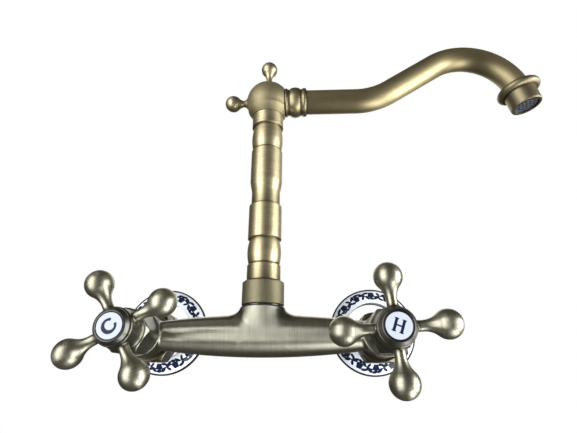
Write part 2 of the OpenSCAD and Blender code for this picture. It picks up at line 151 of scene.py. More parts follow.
def rounded(corners, closed=False):
    """Outline through (radius, height) corners, each rounded by its third number or else a little.

    A point on each side of a corner keeps the smooth shading of the flats out of the fillet.
    """
    outline = []
    for i, corner in enumerate(corners):
        point = np.array(corner[:2], float)
        back = np.array(corners[i - 1][:2], float) - point
        onward = np.array(corners[(i + 1) % len(corners)][:2], float) - point
        u, v = unit(back), unit(onward)
        half = 0.5 * math.acos(np.clip(u @ v, -1, 1))
        at_end = not closed and i in (0, len(corners) - 1)
        if at_end or (len(corner) < 3 and half > math.radians(78)):
            outline.append(point)
            continue
        fillet = corner[2] if len(corner) > 2 else SMALL_FILLET
        room = min(np.linalg.norm(back), np.linalg.norm(onward))
        reach = min(fillet / math.tan(half), 0.42 * room)
        radius = reach * math.tan(half)
        centre = point + unit(u + v) * radius / math.sin(half)
        first, last = point + u * reach, point + v * reach
        start = math.atan2(*(first - centre)[::-1])
        turn = (math.atan2(*(last - centre)[::-1]) - start + math.pi) % TURN - math.pi
        steps = max(2, math.ceil(abs(turn) / math.radians(12)))
        guard = min(0.25, 0.07 * room)
        outline.append(first + u * guard)
        for k in range(steps + 1):
            angle = start + turn * k / steps
            outline.append(centre + radius * np.array([math.cos(angle), math.sin(angle)]))
        outline.append(last + v * guard)
    return outline


def bulge(z0, z1, edge_r, sag, steps=20):
    """Barrel outline from z0 to z1 that swells by sag in its middle."""
    half = (z1 - z0) / 2
    rho = (half * half + sag * sag) / (2 * sag)
    heights = np.linspace(-half, half, steps + 1)
    return [(edge_r + sag - rho + math.sqrt(rho * rho - h * h), z0 + half + h) for h in heights]


def arc(centre, radius, start, end, steps=24):
    """Circular arc between two angles in degrees."""
    angles = np.radians(np.linspace(start, end, steps + 1))
    return [(centre[0] + radius * math.cos(a), centre[1] + radius * math.sin(a)) for a in angles]


def teardrop(foot, neck_r, ball_r, ball_z, blend):
    """Outline of a knob: a neck that runs through a hollow curve of radius blend into a ball."""
    rise = math.sqrt((ball_r + blend) ** 2 - (neck_r + blend) ** 2)
    lean = math.degrees(math.asin(rise / (ball_r + blend)))
    hollow = arc((neck_r + blend, ball_z - rise), blend, 180, 180 - lean, 12)
    ball = arc((0, ball_z), ball_r, -lean, 90, 24)
    return list(foot) + hollow + ball[1:]


def dense(outline, step):
    """The same outline with points at most step apart."""
    points = [np.array(outline[0], float)]
    for target in outline[1:]:
        gap = np.array(target, float) - points[-1]
        count = max(1, math.ceil(np.linalg.norm(gap) / step))
        start = points[-1]
        points += [start + gap * (k + 1) / count for k in range(count)]
    return points


# ---------------------------------------------------------------- surfaces


class Surface:
    """Points and faces in a frame, with their brushing.

    The lines of the brushing change fast along the first number of across. They run along the
    direction in along. marks holds other numbers for each point, such as painted shade and ink.
    """

    def __init__(self, points, faces, across, along, normals=None):
        self.points = np.asarray(points, float)
        self.faces = faces
        self.across = np.asarray(across, float)
        self.along = np.asarray(along, float)
        self.normals = normals
        self.marks = {}

    def placed(self, placement):
        """Moves the surface from its own frame into the CAD's."""
        turn = np.array(placement.to_3x3())
        shift = np.array(placement.translation)
        self.points = self.points @ turn.T + shift
        self.along = self.along @ turn.T
        if self.normals is not None:
            self.normals = self.normals @ turn.T
        return self


def hexagon(across_flats, soft=0.25):
    """Angles round a hexagon, close together at its corners, and its radius at each of them."""
    steps = [0.7, 1.6, 3, 6, 10, 15, 20, 25]
    offsets = [-s for s in reversed(steps)] + steps + [30]
    angles = np.radians([60 * k + o for k in range(6) for o in offsets])
    angles = np.sort(np.mod(angles, TURN))
    flat = across_flats / 2
    reach = flat / np.cos(np.mod(angles, TURN / 6) - TURN / 12)
    return angles, np.minimum(reach, flat / math.cos(TURN / 12) - soft)


def quads(rings, sides, closed, inward=False):
    """Faces between rings of points, each ring with the same number of sides."""
    faces = []
    for i in range(rings if closed else rings - 1):
        a, b = i * sides, ((i + 1) % rings) * sides
        for j in range(sides):
            k = (j + 1) % sides
            faces.append((a + j, b + j, b + k, a + k) if inward else (a + j, a + k, b + k, b + j))
    return faces


def lathe(outline, closed=False, sides=128, limit=None):
    """Surface turned about z from (radius, height) points. limit holds it inside a hexagon."""
    ring = np.array(outline, float)
    run = np.concatenate([[0], np.cumsum(np.linalg.norm(np.diff(ring, axis=0), axis=1))])
    angles, reach = limit or (np.arange(sides) * TURN / sides, None)
    sides = len(angles)
    poles = [i for i in (0, len(ring) - 1) if not closed and ring[i, 0] < 1e-6]
    rows = [i for i in range(len(ring)) if i not in poles]
    radius = np.repeat(ring[rows, :1], sides, axis=1)
    if reach is not None:
        radius = np.minimum(radius, reach[None, :])
    cos, sin = np.cos(angles)[None, :], np.sin(angles)[None, :]
    height = np.repeat(ring[rows, 1:], sides, axis=1)
    points = np.stack([radius * cos, radius * sin, height], -1).reshape(-1, 3)
    travel = np.repeat(run[rows][:, None], sides, axis=1)
    across = np.stack([travel, radius * cos, radius * sin], -1).reshape(-1, 3)
    along = np.stack([-sin + 0 * radius, cos + 0 * radius, 0 * radius], -1).reshape(-1, 3)
    faces = quads(len(rows), sides, closed)
    for pole in poles:
        tip = len(points)
        points = np.vstack([points, [0, 0, ring[pole, 1]]])
        across = np.vstack([across, [run[pole], 0, 0]])
        along = np.vstack([along, [1, 0, 0]])
        row = 0 if pole == 0 else (len(rows) - 1) * sides
        for j in range(sides):
            k = (j + 1) % sides
            faces.append((tip, row + k, row + j) if pole == 0 else (tip, row + j, row + k))
    return Surface(points, faces, across, along)


def turned_ring(corners, sides=128):
    """Surface of a ring turned to an outline with rounded corners."""
    return lathe(rounded(corners, closed=True), closed=True, sides=sides)


def sweep(stations, outline_r, bore_r, sides=72):
    """Tube along (x, z, heading) stations in the x-z plane, with its bore and both end faces."""
    angles = np.arange(sides) * TURN / sides
    loop = [(s, outline_r) for s in stations] + [(s, bore_r) for s in reversed(stations)]
    points, across, along, painted_shade, run = [], [], [], [], 0.0
    for i, ((x, z, heading), radius) in enumerate(loop):
        if i:
            before = loop[i - 1]
            run += math.hypot(x - before[0][0], z - before[0][1]) + abs(radius - before[1])
        side, lift = radius * np.cos(angles), radius * np.sin(angles)
        sin, cos = math.sin(heading), math.cos(heading)
        points.append(np.stack([x - lift * sin, side, z + lift * cos], -1))
        across.append(np.stack([lift + 0.6 * side, 0 * side + run, side], -1))
        along.append(np.tile([cos, 0.0, sin], (sides, 1)))
        # Painted shade on the underside of the tube where it runs level
        level = 1 - smooth(heading, 0.12, 0.4)
        painted_shade.append(0.55 * level * smooth(-np.sin(angles), -0.3, 0.6))
    faces = quads(len(loop), sides, closed=True, inward=True)
    tube = Surface(np.vstack(points), faces, np.vstack(across), np.vstack(along))
    tube.marks["painted_shade"] = np.concatenate(painted_shade)
    return tube


# ---------------------------------------------------------------- modelled (field) surfaces


def length(*parts):
    """Length of the vectors with these parts."""
    return np.sqrt(sum(part * part for part in parts))


def smooth(value, start, end):
    """Nought below start, one above end, with a soft step between."""
    t = np.clip((value - start) / (end - start), 0, 1)
    return t * t * (3 - 2 * t)


def merge(a, b, blend):
    """Union of two fields with a hollow fillet between them."""
    u, v = np.maximum(blend - a, 0), np.maximum(blend - b, 0)
    return np.maximum(blend, np.minimum(a, b)) - length(u, v)


def keep(a, b, edge):
    """Intersection of two fields with a rounded edge."""
    u, v = np.maximum(edge + a, 0), np.maximum(edge + b, 0)
    return np.minimum(-edge, np.maximum(a, b)) + length(u, v)


def outline_field(r, z, corners):
    """Signed distance from (r, z) points to a closed outline."""
    best = np.full(np.shape(r), 1e9)
    inside = np.zeros(np.shape(r), bool)
    for i, (r1, z1) in enumerate(corners):
        r0, z0 = corners[i - 1]
        er, ez = r1 - r0, z1 - z0
        wr, wz = r - r0, z - z0
        t = np.clip((wr * er + wz * ez) / max(er * er + ez * ez, 1e-12), 0, 1)
        best = np.minimum(best, (wr - er * t) ** 2 + (wz - ez * t) ** 2)
        if abs(ez) > 1e-12:
            crossing = (z0 > z) != (z1 > z)
            inside ^= crossing & (r < er * (z - z0) / ez + r0)
    distance = np.sqrt(best)
    return np.where(inside, -distance, distance)


def slope_of(field, points, step=0.02):
    """Gradient of a field at each point."""
    grown = []
    for axis in range(3):
        offset = np.zeros(3)
        offset[axis] = step
        grown.append(field(*(points + offset).T) - field(*(points - offset).T))
    return np.stack(grown, -1) / (2 * step)


def modelled(field, low, high, step, grain):
    """Quad mesh of a field's zero surface.

    grain is the axis that the part was turned or brushed about. Each cell that the surface crosses
    gets one point, which is then moved onto the surface.
    """
    axes = [np.arange(a, b + step, step) for a, b in zip(low, high)]
    value = field(*np.meshgrid(*axes, indexing="ij"))
    inside = value < 0
    shape = np.array(inside.shape)
    count = np.zeros(shape - 1, np.int8)
    for i in (0, 1):
        for j in (0, 1):
            for k in (0, 1):
                count += inside[i : shape[0] - 1 + i, j : shape[1] - 1 + j, k : shape[2] - 1 + k]
    mixed = (count > 0) & (count < 8)
    index = np.full(mixed.shape, -1)
    index[mixed] = np.arange(int(mixed.sum()))
    centre = np.array(low) + (np.argwhere(mixed) + 0.5) * step
    points = centre.copy()
    for _ in range(5):
        gradient = slope_of(field, points)
        size = np.maximum((gradient**2).sum(1, keepdims=True), 0.05)
        points -= np.clip(field(*points.T)[:, None] * gradient / size, -step, step)
        points = centre + np.clip(points - centre, -0.7 * step, 0.7 * step)
    faces = []
    for axis in range(3):
        u, v = (axis + 1) % 3, (axis + 2) % 3
        near = np.take(inside, range(shape[axis] - 1), axis)
        far = np.take(inside, range(1, shape[axis]), axis)
        cell = np.argwhere(near != far)
        cell = cell[(cell[:, u] > 0) & (cell[:, v] > 0)]
        cell = cell[(cell[:, u] < shape[u] - 1) & (cell[:, v] < shape[v] - 1)]
        step_u, step_v = np.eye(3, dtype=int)[u], np.eye(3, dtype=int)[v]
        quad = [cell, cell - step_u, cell - step_u - step_v, cell - step_v]
        quad = np.stack([index[tuple(q.T)] for q in quad], -1)
        outward = near[tuple(cell.T)]
        quad[~outward] = quad[~outward][:, ::-1]
        faces.append(quad)
    faces = np.vstack(faces)
    faces = faces[(faces >= 0).all(1)]
    normals = slope_of(field, points)
    normals /= np.maximum(np.linalg.norm(normals, axis=1, keepdims=True), 1e-9)
    along = np.cross(grain, normals) + 0.01 * np.roll(grain, 1)
    first = int(np.argmax(grain))
    order = [first] + [i for i in range(3) if i != first]
    return Surface(points, faces.tolist(), points[:, order], along, normals)


# ---------------------------------------------------------------- looks


class Look:
    """A material under construction, with short ways to add and join its nodes."""

    def __init__(self, name, **inputs):
        self.material = bpy.data.materials.new(name)
        self.material.use_nodes = True
        self.tree = self.material.node_tree
        self.shader = self.tree.nodes["Principled BSDF"]
        for key, value in inputs.items():
            self.shader.inputs[key.replace("_", " ")].default_value = value

    def add(self, kind, sockets=(), **settings):
        node = self.tree.nodes.new("ShaderNode" + kind)
        for key, value in settings.items():
            setattr(node, key, value)
        for key, value in dict(sockets).items():
            if isinstance(value, bpy.types.NodeSocket):
                self.tree.links.new(value, node.inputs[key])
            else:
                node.inputs[key].default_value = value
        return node

    def feed(self, output, name):
        self.tree.links.new(output, self.shader.inputs[name])

    def ramp(self, factor, stops):
        """Colour ramp through (position, colour) stops."""
        node = self.add("ValToRGB", {"Fac": factor})
        while len(node.color_ramp.elements) < len(stops):
            node.color_ramp.elements.new(0.5)
        for element, (position, colour) in zip(node.color_ramp.elements, stops):
            element.position = position
            element.color = (*colour, 1)
        return node.outputs["Color"]

    def spread(self, value, low, high, start=0.0, end=1.0):
        """Value mapped from start..end to low..high."""
        sockets = {"Value": value, "From Min": start, "From Max": end, "To Min": low, "To Max": high}
        return self.add("MapRange", sockets).outputs["Result"]

    def noise(self, vector, scale, detail=2.0, roughness=0.5):
        sockets = {"Vector": vector, "Scale": scale, "Detail": detail, "Roughness": roughness}
        return self.add("TexNoise", sockets).outputs["Fac"]

    def crevice(self, reach):
        """One on open surfaces, falling to nought where other surfaces come close."""
        node = self.add("AmbientOcclusion", {"Distance": reach * MM}, samples=8)
        return node.outputs["AO"]

    def bump(self, height, strength, depth):
        sockets = {"Height": height, "Strength": strength, "Distance": depth * MM}
        self.feed(self.add("Bump", sockets).outputs["Normal"], "Normal")


def brushed(name, light, dark, rough, lines=1.0, crevice_shade=0.5, streak=0.5):
    """Metal brushed in fine parallel lines, with painted shade in its hollows and wherever its mesh stores
    painted shade.
    """
    look = Look(name, Metallic=1.0, Anisotropic=streak, Anisotropic_Rotation=0.25)
    across = look.add("Attribute", attribute_name="across").outputs["Vector"]
    place = look.add("TexCoord").outputs["Object"]
    fine = look.add("Mapping", {"Vector": across, "Scale": HAIR_SCALE}).outputs["Vector"]
    broad = look.add("Mapping", {"Vector": across, "Scale": BAND_SCALE}).outputs["Vector"]
    hair = look.noise(fine, 1.0, 3.0, 0.65)
    band = look.noise(broad, 1.0, 2.0, 0.55)
    cloud = look.noise(place, 160.0, 4.0, 0.6)
    tone = look.add("Math", {0: band, 1: 0.45, 2: hair}, operation="MULTIPLY_ADD").outputs["Value"]
    tone = look.spread(tone, 0.5 - 0.7 * lines, 0.5 + 0.7 * lines, 0.45, 1.0)
    tone = look.add("Math", {0: cloud, 1: 0.8, 2: tone}, operation="MULTIPLY_ADD").outputs["Value"]
    tone = look.add("Math", {0: tone, 1: 0.4}, operation="SUBTRACT").outputs["Value"]
    metal = look.ramp(tone, [(0.0, dark), (1.0, light)])
    # Painted shade: the stored shade attribute and the ambient occlusion below darken the colour in hollows
    # and where other surfaces come close
    painted_shade = look.add("Attribute", attribute_name="painted_shade").outputs["Fac"]
    unshaded_share = look.spread(look.crevice(3.0), 1.0 - crevice_shade, 1.0, 0.25, 0.9)
    unshaded = look.spread(painted_shade, 1.0, 0.0)
    unshaded_share = look.add("Math", {0: unshaded_share, 1: unshaded}, operation="MULTIPLY").outputs["Value"]
    shaded = look.add(
        "Mix", {0: unshaded_share, 6: (*[0.45 * c for c in dark], 1), 7: metal}, data_type="RGBA"
    )
    look.feed(shaded.outputs[2], "Base Color")
    look.feed(look.spread(hair, rough - 0.06 * lines, rough + 0.06 * lines, 0.3, 0.7), "Roughness")
    along = look.add("Attribute", attribute_name="along").outputs["Vector"]
    turned = look.add(
        "VectorTransform", {"Vector": along},
        vector_type="VECTOR", convert_from="OBJECT", convert_to="WORLD",
    )
    look.feed(turned.outputs["Vector"], "Tangent")
    look.bump(hair, 0.3 * lines, 0.05)
    return look.material


def plain_metal(name, light, dark, rough):
    """Machined metal seen only inside the mixer, with faint cutter marks."""
    look = Look(name, Metallic=1.0)
    place = look.add("TexCoord").outputs["Object"]
    marks = look.noise(place, 900.0, 2.0)
    cloud = look.noise(place, 90.0, 3.0)
    look.feed(look.ramp(cloud, [(0.3, dark), (0.7, light)]), "Base Color")
    look.feed(look.spread(marks, rough - 0.06, rough + 0.08), "Roughness")
    look.bump(marks, 0.08, 0.04)
    return look.material


def glazed(name, body, ink_colour):
    """White glaze over a printed pattern, whose distance is stored in the mesh as ink."""
    look = Look(name, Roughness=0.07, Specular_IOR_Level=0.1)
    place = look.add("TexCoord").outputs["Object"]
    mottle = look.noise(place, 160.0, 3.0)
    glaze = look.ramp(mottle, [(0.3, tuple(0.97 * c for c in body)), (0.7, body)])
    ink = look.add("Attribute", attribute_name="ink").outputs["Fac"]
    printed = look.spread(ink, 1.0, 0.0, -0.09, 0.09)
    tint = look.add("Mix", {0: printed, 6: glaze, 7: (*ink_colour, 1)}, data_type="RGBA")
    look.feed(tint.outputs[2], "Base Color")
    look.bump(look.noise(place, 420.0, 1.0), 0.05, 0.05)
    return look.material


def dull(name, light, dark, rough, scale, depth, **inputs):
    """Rubber, plastic or fired ceramic with a fine even grain."""
    look = Look(name, **inputs)
    place = look.add("TexCoord").outputs["Object"]
    grain = look.noise(place, scale, 3.0, 0.6)
    look.feed(look.ramp(grain, [(0.25, dark), (0.75, light)]), "Base Color")
    look.feed(look.spread(grain, rough - 0.05, rough + 0.05, 0.3, 0.7), "Roughness")
    look.bump(grain, 0.15, depth)
    return look.material


# Light tone, dark tone and roughness. Brushed metal adds the strength of its lines, of its painted crevice
# shade and of its streaks
LOOKS = {
    "body": brushed("brass_body", (0.42, 0.41, 0.335), (0.26, 0.25, 0.197), 0.40, 0.6, 0.6, 0.85),
    "column": brushed("brass_column", (0.555, 0.492, 0.325), (0.365, 0.307, 0.175), 0.47, 0.9, 0.9, 0.45),
    "head": brushed("brass_head", (0.34, 0.295, 0.182), (0.235, 0.194, 0.11), 0.60, 0.5, 0.8, 0.0),
    "knob": brushed("brass_knob", (0.46, 0.41, 0.27), (0.31, 0.27, 0.16), 0.44, 0.1, 0.8, 0.0),
    "collar": brushed("brass_collar", (0.34, 0.293, 0.18), (0.22, 0.187, 0.105), 0.44, 0.4, 0.9, 0.3),
    "nut": brushed("brass_nut", (0.215, 0.194, 0.123), (0.143, 0.128, 0.080), 0.54, 0.9, 0.6, 0.2),
    "spout": brushed("brass_spout", (0.44, 0.375, 0.215), (0.30, 0.25, 0.135), 0.46, 0.4, 0.65, 0.55),
    "outlet": brushed("brass_outlet", (0.25, 0.215, 0.14), (0.165, 0.138, 0.082), 0.50, 0.3, 0.8, 0.1),
    "handle": brushed("brass_handle", (0.405, 0.39, 0.302), (0.17, 0.162, 0.121), 0.40, 0.5, 0.9, 0.4),
    # Painted shade: a darker copy of the brass for the union nuts and S-unions, which sit in shadow behind
    # the body and handles
    "dark": brushed("dark_brass", (0.14, 0.12, 0.08), (0.075, 0.064, 0.042), 0.36, 0.4, 0.7, 0.2),
    "rim": dull(
        "dark_rim", (0.014, 0.013, 0.012), (0.008, 0.007, 0.007), 0.5, 300.0, 0.02, Specular_IOR_Level=0.15
    ),
    "gunmetal": brushed("gunmetal", (0.205, 0.203, 0.17), (0.12, 0.117, 0.096), 0.31, 0.4, 0.7, 0.3),
    "cap": brushed("cap_gunmetal", (0.15, 0.148, 0.135), (0.08, 0.079, 0.072), 0.40, 0.25, 0.8, 0.1),
    # Painted shade and painted light: the discs' copy of the china is darker against the strong light on
    # them, the flange's copy lighter for the weaker light on its tilted ring
    "china": glazed("glazed_china", (0.54, 0.58, 0.67), (0.010, 0.015, 0.045)),
    "flange": glazed("flange_china", (0.84, 0.89, 0.97), (0.012, 0.018, 0.045)),
    "ceramic": dull("ceramic_white", (0.80, 0.79, 0.76), (0.72, 0.71, 0.68), 0.35, 500.0, 0.02),
    "steel": plain_metal("steel", (0.62, 0.62, 0.61), (0.50, 0.50, 0.49), 0.28),
    "machined": plain_metal("machined_brass", (0.50, 0.40, 0.20), (0.40, 0.31, 0.15), 0.30),
    "screw": dull("black_screw", (0.035, 0.035, 0.035), (0.015, 0.015, 0.015), 0.38, 700.0, 0.02),
    "rubber": dull("rubber", (0.022, 0.022, 0.022), (0.012, 0.012, 0.012), 0.30, 800.0, 0.02),
    "plastic": dull("aerator_plastic", (0.062, 0.070, 0.092), (0.040, 0.046, 0.062), 0.35, 600.0, 0.03),
}


def store(mesh, name, values):
    """Keeps one number or one vector with each vertex of a mesh."""
    kind, slot = ("FLOAT_VECTOR", "vector") if values.ndim == 2 else ("FLOAT", "value")
    layer = mesh.attributes.new(name, kind, "POINT")
    layer.data.foreach_set(slot, values.astype(np.float32).ravel())


def brush_about(mesh, centre, axis, lengthwise=False):
    """Stores brushing that runs round one of the main axes through a centre, or lengthwise along it."""
    points = np.array([vertex.co for vertex in mesh.vertices]) / MM - np.array(centre)
    pole = np.eye(3)[axis]
    along = np.cross(pole, points) + 0.01 * np.roll(pole, 1)
    rest = [i for i in range(3) if i != axis]
    across = points[:, [axis] + rest]
    if lengthwise:
        run = length(*points[:, rest].T) * np.arctan2(points[:, rest[0]], -points[:, rest[1]])
        across = np.stack([run, across[:, 0], 0 * run], -1)
        along = np.tile(pole, (len(points), 1))
    for name, values in (("across", across), ("along", along)):
        if name in mesh.attributes:
            mesh.attributes.remove(mesh.attributes[name])
        store(mesh, name, values)


def show(node, surface, look):
    """Makes a surface the visible piece for a CAD node."""
    mesh = bpy.data.meshes.new(node + "_look")
    mesh.from_pydata((surface.points * MM).tolist(), [], [tuple(f) for f in surface.faces])
    mesh.polygons.foreach_set("use_smooth", [True] * len(mesh.polygons))
    for name, values in {"across": surface.across, "along": surface.along, **surface.marks}.items():
        store(mesh, name, values)
    mesh.validate()
    if surface.normals is not None:
        mesh.normals_split_custom_set_from_vertices(surface.normals.tolist())
    mesh.materials.append(LOOKS[look])
    piece = bpy.data.objects.new(node + "_look", mesh)
    bpy.context.scene.collection.objects.link(piece)
    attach(piece, frame["nodes"][node]["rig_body"])
    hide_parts(node)
    return piece


# ---------------------------------------------------------------- body


def body_field(x, y, z):
    """Bar, column socket, valve bosses and tails of the mixer body, less its waterways."""
    bar = length(y, z) - (BAR_R - (BAR_CURVE_R - np.sqrt(BAR_CURVE_R**2 - np.minimum(x * x, 8000))))
    bar = np.maximum(bar, abs(x) - HALF_PITCH - 1)
    core = keep(np.maximum(length(x, y) - 11.4, -z), z - SOCKET_TOP, 0.3)
    facing = y * y / np.maximum(length(y, z) * length(x, y), 1e-6)
    solid = merge(bar, core, 0.4 + 10.3 * (1 - facing * facing))
    waist = np.clip((13 - z) / 13, 0, 1)
    socket = keep(np.maximum(length(x, y) - 13.25 + 4.6 * waist**2, -z), z - SOCKET_TOP, 0.35)
    solid = merge(solid, socket, 3.0)
    thread = keep(length(x, y) - THREAD_R, z - 25.6, 0.5)
    solid = np.minimum(solid, np.maximum(thread, 5 - z))
    out = -y - COLUMN_AXIS.y          # distance from the wall
    across = length(abs(x) - HALF_PITCH, z)
    boss = keep(keep(across - 13.3, out - 54, 0.8), 34.6 - out, 1.0)
    solid = merge(solid, boss, 1.6)
    tail = keep(across - 9.4, 30.2 - out, 0.4)
    tail = np.maximum(tail, out - 40)
    flange = keep(keep(across - 12.2, out - 32.6, 0.35), 30 - out, 0.35)
    solid = np.minimum(solid, np.minimum(tail, flange))
    chamber = np.maximum(across - 10.4, 38 - out)
    inlet = np.maximum(across - 6, out - 39)
    bore = np.maximum(length(x, y) - 9, -5 - z)
    waterway = np.maximum(length(y, z) - 6, abs(x) - HALF_PITCH)
    hollow = np.minimum(np.minimum(chamber, inlet), np.minimum(bore, waterway))
    return keep(solid, -hollow, 0.35)


def make_body():
    surface = modelled(body_field, (-90, -14.6, -15), (90, 15, 27), FINE * 1.2, (1.0, 0, 0))
    x, y, z = surface.points.T
    # Painted shade on the flanks of the socket's flare, turned away from the front, and on the ends of the
    # bar by the valve bosses
    aside = smooth(abs(np.degrees(np.arctan2(x, -y))), 22, 52)
    neck = aside * smooth(z, 7, 11) * (1 - smooth(abs(x), 19, 27))
    surface.marks["painted_shade"] = 0.75 * neck + 0.6 * smooth(abs(x), 58, 68)
    show("mixer_body", surface.placed(COLUMN), "body")


def grub_frame():
    """Frame of the locking screw: z runs outwards from the column's axis."""
    turn = Matrix.Rotation(math.radians(GRUB_AZIMUTH), 4, "Z") @ Matrix.Rotation(-math.pi / 2, 4, "Y")
    return COLUMN @ Matrix.Translation((0, 0, GRUB_Z)) @ turn


def make_swivel():
    """Collar nut with its locking screw, and the glide ring under it."""
    nut = turned_ring(
        [(9.24, 30.6), (THREAD_R, 30.6), (THREAD_R, 18.6), (COLLAR_R, 18.6, 0.3), (COLLAR_R, 33.1, 0.7),
         (12.4, COLLAR_TOP, 0.5), (9.24, COLLAR_TOP)]
    )
    piece = show("collar_nut", nut.placed(COLUMN), "nut")
    drill_grub_hole(piece)
    screw = rounded(
        [(0, 9.3), (1.15, 9.3), (1.15, 12.9, 0.15), (0.62, 12.9, 0.05), (0.62, 12.0), (0, 12.0)]
    )
    show("collar_screw", lathe(screw, sides=48).placed(grub_frame()), "screw")
    ring = turned_ring([(THREAD_R, SOCKET_TOP), (13, SOCKET_TOP, 0.7), (13, 18.6, 0.7), (THREAD_R, 18.6)])
    show("collar_ring", ring.placed(COLUMN), "rubber")


def drill_grub_hole(piece):
    """Cuts the countersunk hole of the locking screw through the collar nut."""
    cutter_mesh = bpy.data.meshes.new("grub_cutter")
    drill = lathe([(0, 8), (GRUB_R, 8), (GRUB_R, 12.3), (2.0, 12.9), (2.0, 15), (0, 15)], sides=48)
    drill.placed(grub_frame())
    cutter_mesh.from_pydata((drill.points * MM).tolist(), [], drill.faces)
    cutter = bpy.data.objects.new("grub_cutter", cutter_mesh)
    bpy.context.scene.collection.objects.link(cutter)
    cut = piece.modifiers.new("grub_hole", "BOOLEAN")
    cut.object, cut.operation, cut.solver = cutter, "DIFFERENCE", "EXACT"
    bpy.context.view_layer.update()
    evaluated = piece.evaluated_get(bpy.context.evaluated_depsgraph_get())
    drilled = bpy.data.meshes.new_from_object(evaluated)
    piece.modifiers.clear()
    piece.data = drilled
    drilled.set_sharp_from_angle(angle=math.radians(40))
    brush_about(drilled, COLUMN_AXIS, 2, lengthwise=True)
    bpy.data.objects.remove(cutter)


def shade_grooves(piece, *levels):
    """Paints shade into the turned grooves and joints at some heights."""
    z = piece.points[:, 2]
    piece.marks["painted_shade"] = 0.97 * np.exp(-((z[:, None] - levels) / 0.85) ** 2).max(axis=1)


def groove(outer, inner, low, high):
    """Corners of a square groove turned into a cylinder between two heights."""
    return [(outer, low), (inner, low), (inner, high), (outer, high)]


def make_column():
    """Both turned lengths of the column, with grooves for their seals."""
    lower = turned_ring(
        [(BORE_R, -2), (SPIGOT_R, -2, 0.4), *groove(SPIGOT_R, 7.05, 4.05, 5.95),
         *groove(SPIGOT_R, 7.05, 12.05, 13.95), *groove(SPIGOT_R, 8.2, 27.4, 29.4), (SPIGOT_R, 34.3),
         (11.2, 34.3, 0.3), (11.2, 44.8, 0.5), (10.1, 45.2, 0.2), (10.1, 45.6, 0.2),
         *bulge(45.9, 62.1, 10.35, 1.1), (10.1, 62.4, 0.2), (10.1, 62.8, 0.2), (COLUMN_R, 63.4, 0.5),
         (COLUMN_R, 87.6, 0.7), (10.4, COLUMN_SPLIT, 0.2), (8.1, COLUMN_SPLIT), (8.1, 78.4), (BORE_R, 78.4)]
    )
    shade_grooves(lower, 34.2, 45.5, 62.6, 88.3)
    show("lower_column", lower.placed(COLUMN), "column")
    upper = turned_ring(
        [(BORE_R, 78.8), (8.05, 78.8, 0.3), *groove(8.05, 6.4, 82.5, 84.3), (8.05, COLUMN_SPLIT),
         (9.7, COLUMN_SPLIT, 0.2), (10.1, 88.9, 0.3), (10.1, 99.0, 6), (COLUMN_R, 106.8, 5),
         (COLUMN_R, 132.0, 0.5), (10.1, 132.45, 0.2), (10.1, 133.05, 0.2), *bulge(133.4, 152.0, 10.5, 1.1),
         (10.3, 152.3, 0.2), (10.3, 152.7, 0.2), (11.8, 153.3, 0.5), (11.8, 163.4, 0.25), (8, 163.4),
         (8, 169.4, 0.3), (BORE_R, 169.4)]
    )
    shade_grooves(upper, 88.5, 132.8, 152.5)
    show("upper_column", upper.placed(COLUMN), "column")


# ---------------------------------------------------------------- head


def head_field(x, y, z):
    """Ball head with its skirt over the column and its seat for the spout collar."""
    ball = length(x, y, z) - BALL_HEAD_R
    skirt_profile = [
        (0, HEAD_FOOT), (12.1, HEAD_FOOT), (12.3, -13.4), (15.1, -8.4), (14.6, -6.5), (0, -6.5)
    ]
    skirt = outline_field(length(x, y), z, skirt_profile)
    solid = merge(ball, skirt, 1.8)
    solid = keep(solid, HEAD_FOOT - z, 0.3)
    solid = keep(solid, x - 13.0, 0.3)
    socket = np.maximum(length(x, y) - 8.05, z + 8.1)
    riser = np.maximum(length(x, y) - BORE_R, z - 5)
    seat = np.maximum(length(y, z) - 6.5, -x)
    return keep(solid, -np.minimum(np.minimum(socket, riser), seat), 0.3)


def make_head():
    """Ball head and its two finials."""
    surface = modelled(head_field, (-18, -18, -15), (14.5, 18, 18), FINE * 1.1, (1.0, 0, 0))
    # Painted shade on the underside of the head, darker towards its foot
    surface.marks["painted_shade"] = 0.5 * (1 - smooth(surface.points[:, 2], -14.0, -9.0))
    show("ball_head", surface.placed(HEAD), "head")
    root = BALL_HEAD_R - 0.9
    top = teardrop(
        rounded([(0, root - 4), (1.9, root - 4), (1.9, root), (3.6, root), (2.6, root + 2.4, 2.5)])
        + [(2.3, 20.4)], 2.25, FINIAL_BALL_R, 33.2, 9.0
    )
    show("top_finial", lathe(top, sides=96).placed(HEAD), "knob")
    side = teardrop(
        rounded([(0, root - 4), (1.9, root - 4), (1.9, root - 0.6), (5.6, root - 0.4),
                 (3.1, root + 1.6, 3.2)])
        + [(2.45, 19.4)], 2.4, FINIAL_BALL_R, 27.8, 7.0
    )
    show("side_finial", lathe(side, sides=96).placed(SIDE_KNOB), "knob")


# ---------------------------------------------------------------- spout


def turned(start, radius, end, steps):
    """Stations (x, z, heading) of an arc that starts at a station and turns to heading end."""
    x, z, begin = start
    bend = 1 if end > begin else -1
    stations = []
    for k in range(1, steps + 1):
        a = begin + (end - begin) * k / steps
        stations.append(
            (x + bend * radius * (math.sin(a) - math.sin(begin)),
             z - bend * radius * (math.cos(a) - math.cos(begin)), a)
        )
    return stations


def ahead(station, distance, steps=1):
    """Stations straight on from a station."""
    x, z, a = station
    parts = [distance * (k + 1) / steps for k in range(steps)]
    return [(x + d * math.cos(a), z + d * math.sin(a), a) for d in parts]


